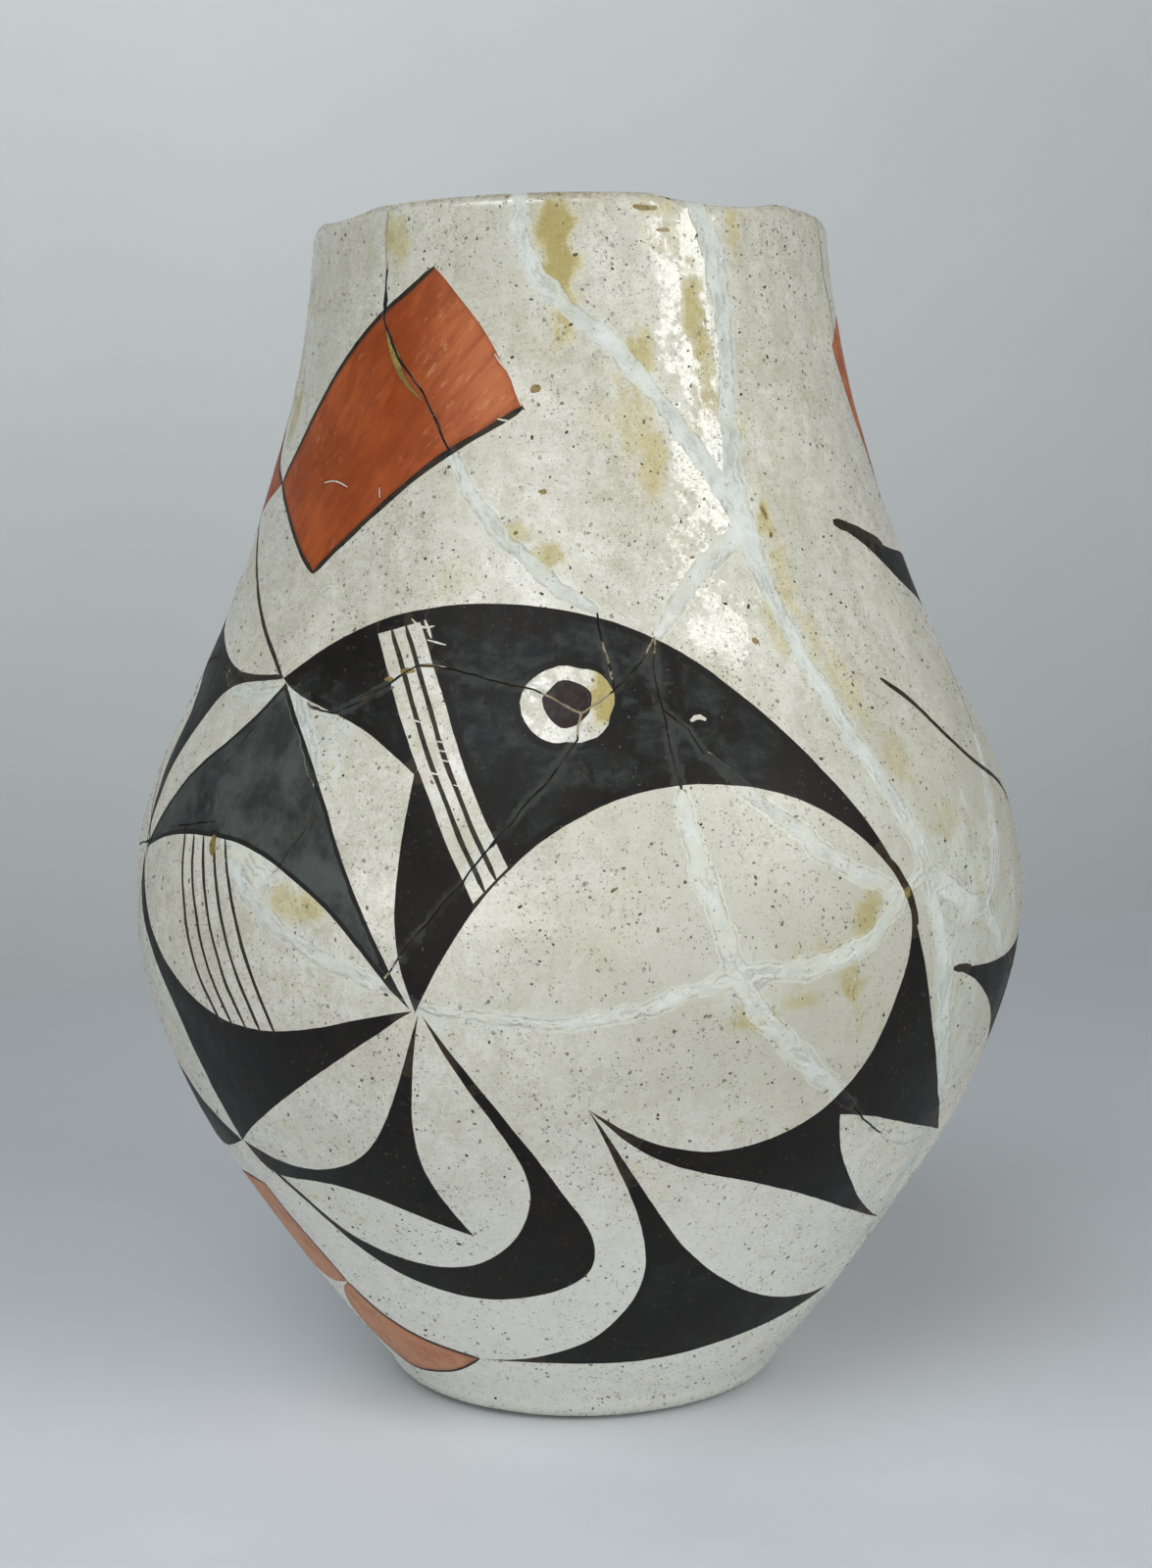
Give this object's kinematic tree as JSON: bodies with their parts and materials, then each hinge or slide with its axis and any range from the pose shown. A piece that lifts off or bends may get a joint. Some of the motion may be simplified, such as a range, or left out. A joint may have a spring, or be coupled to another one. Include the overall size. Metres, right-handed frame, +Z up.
{
  "type": "pueblo pottery jar",
  "caption": "Tall thin-walled pueblo water jar with a tapering neck and a dished foot, slipped white, painted in black and orange, and mended from its sherds with plaster.",
  "frame": {"origin": "middle of the footprint, on the plane that the jar stands on", "axes": "+Z up along the jar's axis, -Y towards the pictured front"},
  "size_m": [0.1928, 0.1928, 0.25],
  "materials": {
    "painted_clay": "satin",
    "plaster": "matte"
  },
  "bodies": {
    "root": {"plaster_back_low": "plaster", "plaster_beak": "plaster", "plaster_belly_left": "plaster", "plaster_belly_middle": "plaster", "plaster_cheek": "plaster", "plaster_leaf": "plaster", "plaster_made_up_edge": "plaster", "plaster_made_up_sherd": "plaster", "plaster_neck_left": "plaster", "plaster_neck_middle": "plaster", "plaster_neck_right": "plaster", "plaster_rim_back": "plaster", "plaster_rim_side_left": "plaster", "plaster_shoulder_back": "plaster", "plaster_shoulder_branch": "plaster", "plaster_shoulder_left": "plaster", "plaster_side_back": "plaster", "plaster_side_branch": "plaster", "plaster_side_chip": "plaster", "plaster_side_front": "plaster", "plaster_side_low": "plaster", "plaster_side_rise": "plaster", "sherd_back_left": "painted_clay", "sherd_back_right": "painted_clay", "sherd_base_and_front": "painted_clay", "sherd_beak": "painted_clay", "sherd_head_left": "painted_clay", "sherd_head_middle": "painted_clay", "sherd_low_back_left": "painted_clay", "sherd_low_back_right": "painted_clay", "sherd_low_left": "painted_clay", "sherd_low_right": "painted_clay", "sherd_neck_back_left": "painted_clay", "sherd_neck_back_right": "painted_clay", "sherd_neck_front": "painted_clay", "sherd_neck_left": "painted_clay", "sherd_neck_right": "painted_clay", "sherd_neck_side_left": "painted_clay", "sherd_neck_side_right": "painted_clay", "sherd_neck_wedge": "painted_clay", "sherd_oval_lower": "painted_clay", "sherd_oval_upper": "painted_clay", "sherd_shoulder_left": "painted_clay", "sherd_side_chip": "painted_clay", "sherd_side_left": "painted_clay", "sherd_side_right": "painted_clay", "sherd_side_strip": "painted_clay"}
  },
  "joints": []
}
